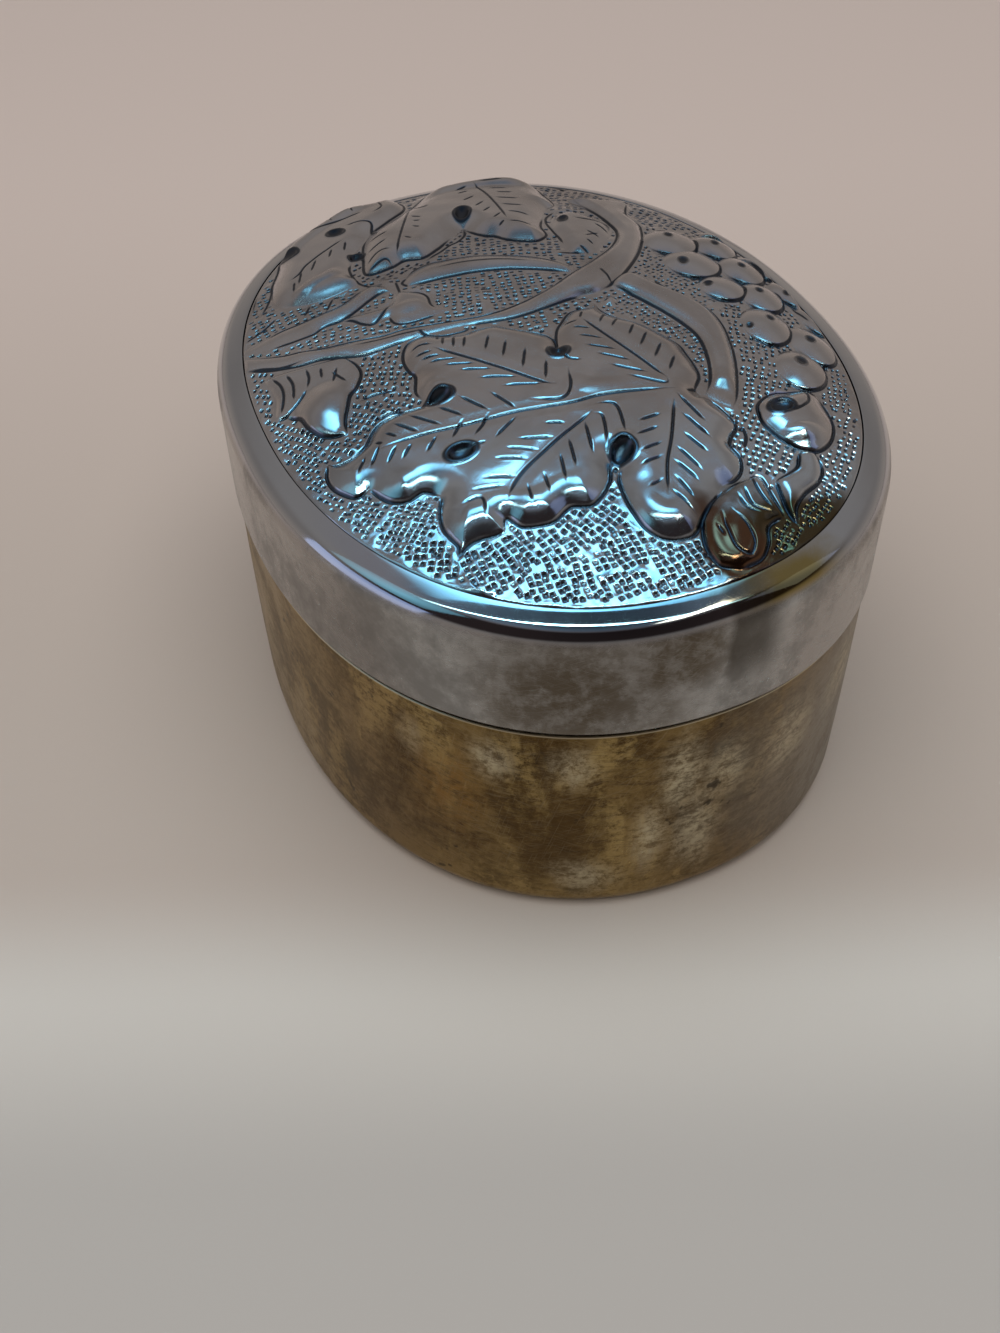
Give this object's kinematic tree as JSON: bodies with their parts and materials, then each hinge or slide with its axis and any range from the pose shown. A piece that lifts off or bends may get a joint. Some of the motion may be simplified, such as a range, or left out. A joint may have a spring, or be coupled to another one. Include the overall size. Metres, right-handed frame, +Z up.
{
  "type": "trinket box",
  "caption": "Oval sheet-metal keepsake box with a plain rounded base, an inner neck and a lift-off domed lid chased with vine leaves and grapes.",
  "frame": {"origin": "middle of the flat face that the box stands on", "axes": "+Z up through the lid, Y along the long axis of the oval, X across it"},
  "size_m": [0.0726, 0.09, 0.0512],
  "materials": {
    "tarnished_base": "silver plate worn and tarnished to mottled brown and gold, finely scratched",
    "base_floor_brass": "dull rubbed brass",
    "neck_silver": "dull silver plate",
    "lid_silver": "polished silver plate with cloudy tarnish and fine scratches",
    "chased_silver": "polished raised ornament over punched matting, darkened in the chased lines"
  },
  "bodies": {
    "base": {"base_wall": "tarnished_base", "base_floor": "base_floor_brass", "neck_ring": "neck_silver"},
    "lid": {"lid_band": "lid_silver", "lid_panel": "chased_silver"}
  },
  "joints": [
    {"name": "lid_lift", "type": "slide", "parent": "base", "child": "lid", "axis": [0, 0, 1], "range_m": [0, 0.04]}
  ]
}
